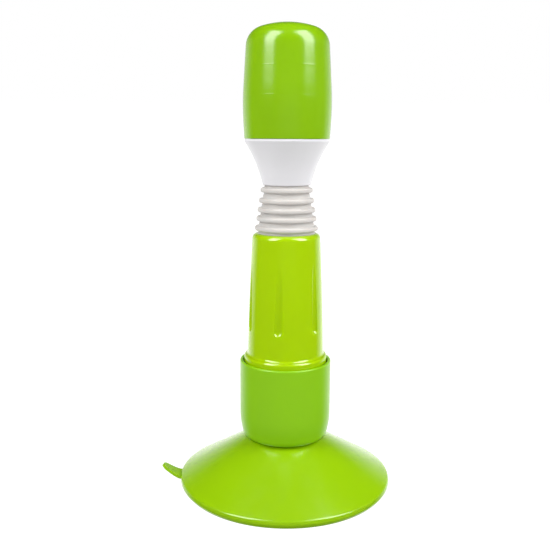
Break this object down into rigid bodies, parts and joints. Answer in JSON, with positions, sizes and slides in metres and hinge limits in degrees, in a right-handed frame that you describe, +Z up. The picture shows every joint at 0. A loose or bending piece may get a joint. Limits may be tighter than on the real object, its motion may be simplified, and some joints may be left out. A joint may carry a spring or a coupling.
{
  "type": "handheld massager",
  "caption": "Battery wand massager with a soft domed head, ribbed flexible neck and fluted handle, standing in a holder cup on a suction base.",
  "frame": {"origin": "on the wand's axis, in the plane of the suction cup's flat rim", "axes": "+Z up along the wand's axis, -X towards the pull tab, -Y the front"},
  "size_m": [0.0877, 0.0806, 0.1711],
  "materials": {
    "clear_green_vinyl": "soft translucent, semi-gloss",
    "satin_green_plastic": "fine satin",
    "gloss_green_plastic": "glossy moulded",
    "soft_green_rubber": "soft satin",
    "ivory_rubber": "soft matte",
    "white_plastic": "smooth, low gloss",
    "black_plastic": "moulded",
    "black_rubber": "smooth",
    "steel": "bright",
    "spring_steel": "drawn wire",
    "plated_steel": "nickel plated",
    "core_steel": "laminated",
    "weight_steel": "sintered",
    "brass": "turned",
    "bronze": "sintered, oiled",
    "copper": "polished",
    "copper_wire": "enamelled wire",
    "ferrite": "ground",
    "cell_jacket": "plain printed jacket",
    "circuit_board": "solder mask",
    "red_insulation": "smooth",
    "black_insulation": "smooth"
  },
  "bodies": {
    "suction_base": {"suction_cup": "clear_green_vinyl"},
    "holder": {"holder_cup": "satin_green_plastic", "threaded_insert": "brass", "clamp_washer": "steel", "clamp_screw": "steel"},
    "foot": {"battery_cap": "gloss_green_plastic", "bridge_disc": "plated_steel", "bridge_spring": "spring_steel"},
    "handle": {"handle_shell": "gloss_green_plastic", "cap_seal_ring": "black_rubber", "cell_cradle": "black_plastic", "battery_cell_1": "cell_jacket", "battery_cell_2": "cell_jacket", "contact_board": "circuit_board", "positive_contact": "plated_steel", "negative_contact": "plated_steel", "neck_seat_lower": "white_plastic"},
    "neck": {"neck_bellows": "ivory_rubber", "neck_spring": "spring_steel", "lead_red": "red_insulation", "lead_black": "black_insulation"},
    "head": {"head_shell": "white_plastic", "head_cap": "soft_green_rubber", "neck_seat_upper": "white_plastic", "motor_retainer": "black_plastic", "retainer_screws": "steel", "motor_can": "plated_steel", "motor_end_cap": "black_plastic", "motor_magnets": "ferrite", "motor_terminals": "brass", "motor_brushes": "brass", "motor_bushes": "bronze"},
    "rotor": {"rotor_shaft": "steel", "rotor_core": "core_steel", "rotor_windings": "copper_wire", "commutator": "copper", "eccentric_weight": "weight_steel"}
  },
  "joints": [
    {"name": "suction_press", "type": "slide", "parent": "suction_base", "child": "holder", "axis": [0, 0, -1], "range_m": [0, 0.004], "stiffness_N_per_m": 2500, "springref_m": -0.001, "deforming": ["suction_cup"]},
    {"name": "wand_lift", "type": "slide", "parent": "holder", "child": "foot", "axis": [0, 0, 1], "range_m": [0, 0.035]},
    {"name": "cap_twist", "type": "hinge", "parent": "foot", "child": "handle", "pos_m": [0, 0, 0.045], "axis": [0, 0, 1], "range_deg": [0, 90]},
    {"name": "neck_nod", "type": "hinge", "parent": "handle", "child": "neck", "pos_m": [0, 0, 0.105], "axis": [1, 0, 0], "range_deg": [-15, 15], "stiffness_Nm_per_rad": 0.8, "deforming": ["neck_bellows", "neck_spring", "lead_red", "lead_black"]},
    {"name": "neck_sway", "type": "hinge", "parent": "neck", "child": "head", "pos_m": [0, 0, 0.105], "axis": [0, 1, 0], "range_deg": [-15, 15], "stiffness_Nm_per_rad": 0.8, "deforming": ["neck_bellows", "neck_spring", "lead_red", "lead_black"]},
    {"name": "rotor_spin", "type": "hinge", "parent": "head", "child": "rotor", "pos_m": [0, 0, 0.14], "axis": [0, 0, 1], "continuous": true}
  ]
}
